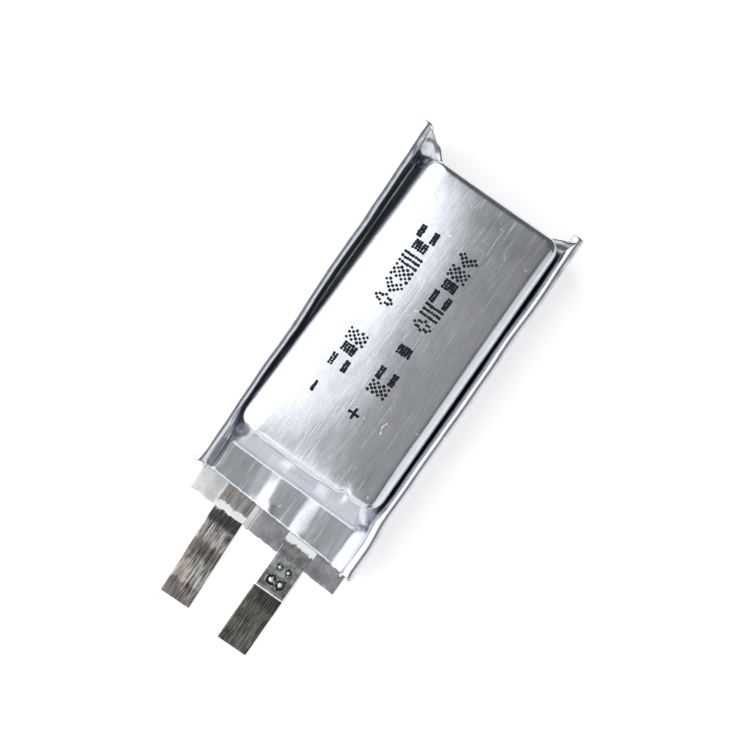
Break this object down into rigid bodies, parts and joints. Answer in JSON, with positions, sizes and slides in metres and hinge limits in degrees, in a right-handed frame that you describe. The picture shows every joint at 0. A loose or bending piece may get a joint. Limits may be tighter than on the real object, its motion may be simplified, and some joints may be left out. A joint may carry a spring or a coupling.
{
  "type": "pouch battery cell",
  "caption": "Small rectangular lithium pouch cell: drawn silver film cup, turned-up double-folded side seals, flat nickel and aluminium tabs at one end.",
  "frame": {"origin": "middle of the flat back of the pouch, halfway between the fold and the cut edge of the top seal", "axes": "+X across the cell from the negative tab to the positive tab, +Y towards the folded end (tabs point to -Y), +Z out of the cup"},
  "size_m": [0.0128, 0.0346, 0.0064],
  "materials": {
    "laminate_film": "satin pouch laminate, silver, clear nylon skin over aluminium foil",
    "nickel": "thin nickel strip with fine lengthwise rolling lines",
    "tab_aluminium": "soft aluminium strip, dull silver",
    "weld_metal": "fused spot weld, bright pit in a dark ring",
    "sealing_resin": "translucent white resin film",
    "copper_foil": "bright rolled copper foil",
    "graphite": "matt black graphite coating",
    "foil_aluminium": "bright aluminium foil",
    "cathode_powder": "matt dark grey oxide coating",
    "separator_film": "matt white porous film",
    "adhesive_tape": "green adhesive tape"
  },
  "bodies": {
    "root": {"front_film": "laminate_film", "back_film": "laminate_film", "left_side_seal": "laminate_film", "right_side_seal": "laminate_film", "negative_tab": "nickel", "positive_tab": "tab_aluminium", "positive_tab_extension": "nickel", "extension_spot_welds": "weld_metal", "negative_seal_film_front": "sealing_resin", "negative_seal_film_back": "sealing_resin", "positive_seal_film_front": "sealing_resin", "positive_seal_film_back": "sealing_resin", "copper_foils": "copper_foil", "graphite_coatings": "graphite", "aluminium_foils": "foil_aluminium", "cathode_coatings": "cathode_powder", "separator": "separator_film", "stack_tape": "adhesive_tape", "negative_weld_tape": "adhesive_tape", "positive_weld_tape": "adhesive_tape"}
  },
  "joints": []
}
